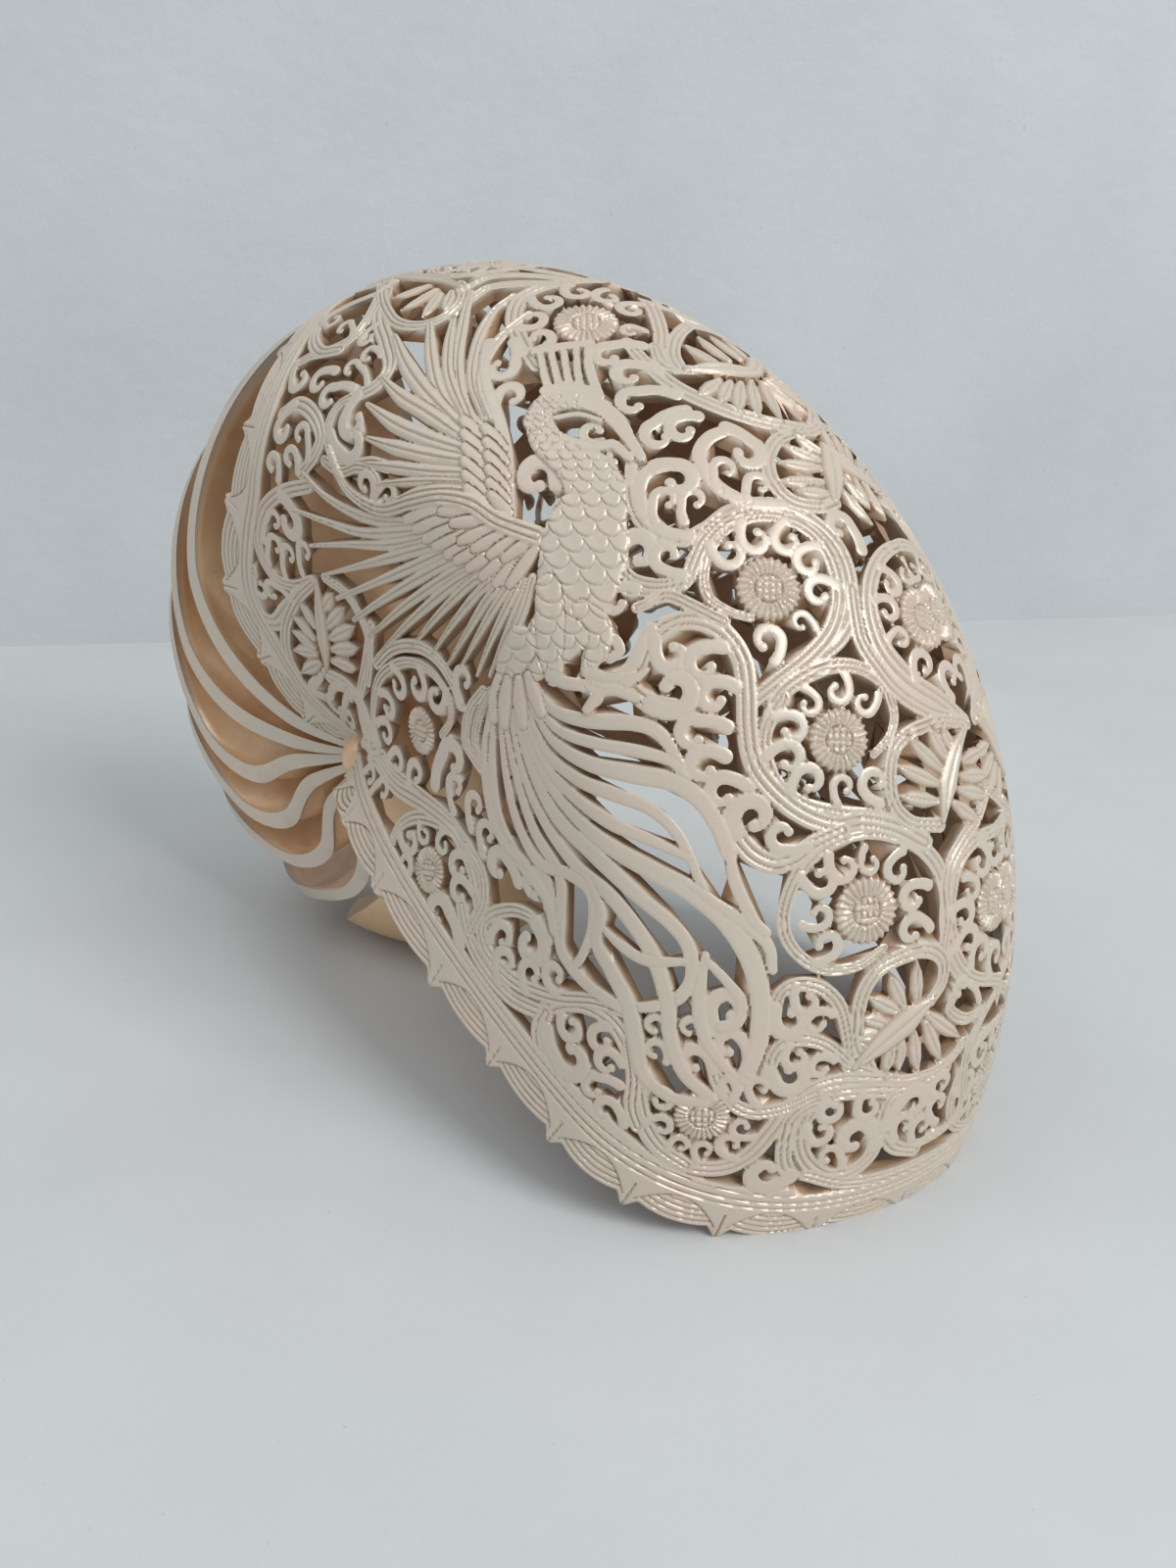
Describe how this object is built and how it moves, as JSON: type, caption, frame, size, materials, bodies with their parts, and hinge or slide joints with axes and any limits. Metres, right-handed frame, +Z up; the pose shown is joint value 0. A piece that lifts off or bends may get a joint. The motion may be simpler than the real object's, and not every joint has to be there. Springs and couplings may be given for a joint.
{
  "type": "carved chambered nautilus shell",
  "caption": "Spiral nautilus shell pierced all over in floral openwork, its septa bared like blades behind the living chamber.",
  "frame": {"origin": "centre of the bounding box in plan, on the surface that the shell stands on", "axes": "+Z up; the coiling axis lies along Y; the body whorl faces +X and its aperture faces down; the XZ plane is the plane of symmetry"},
  "size_m": [0.1646, 0.0916, 0.1215],
  "materials": {
    "shell": "satin, polished cream shell with a faint pearly sheen"
  },
  "bodies": {
    "root": {"shell": "shell"}
  },
  "joints": []
}
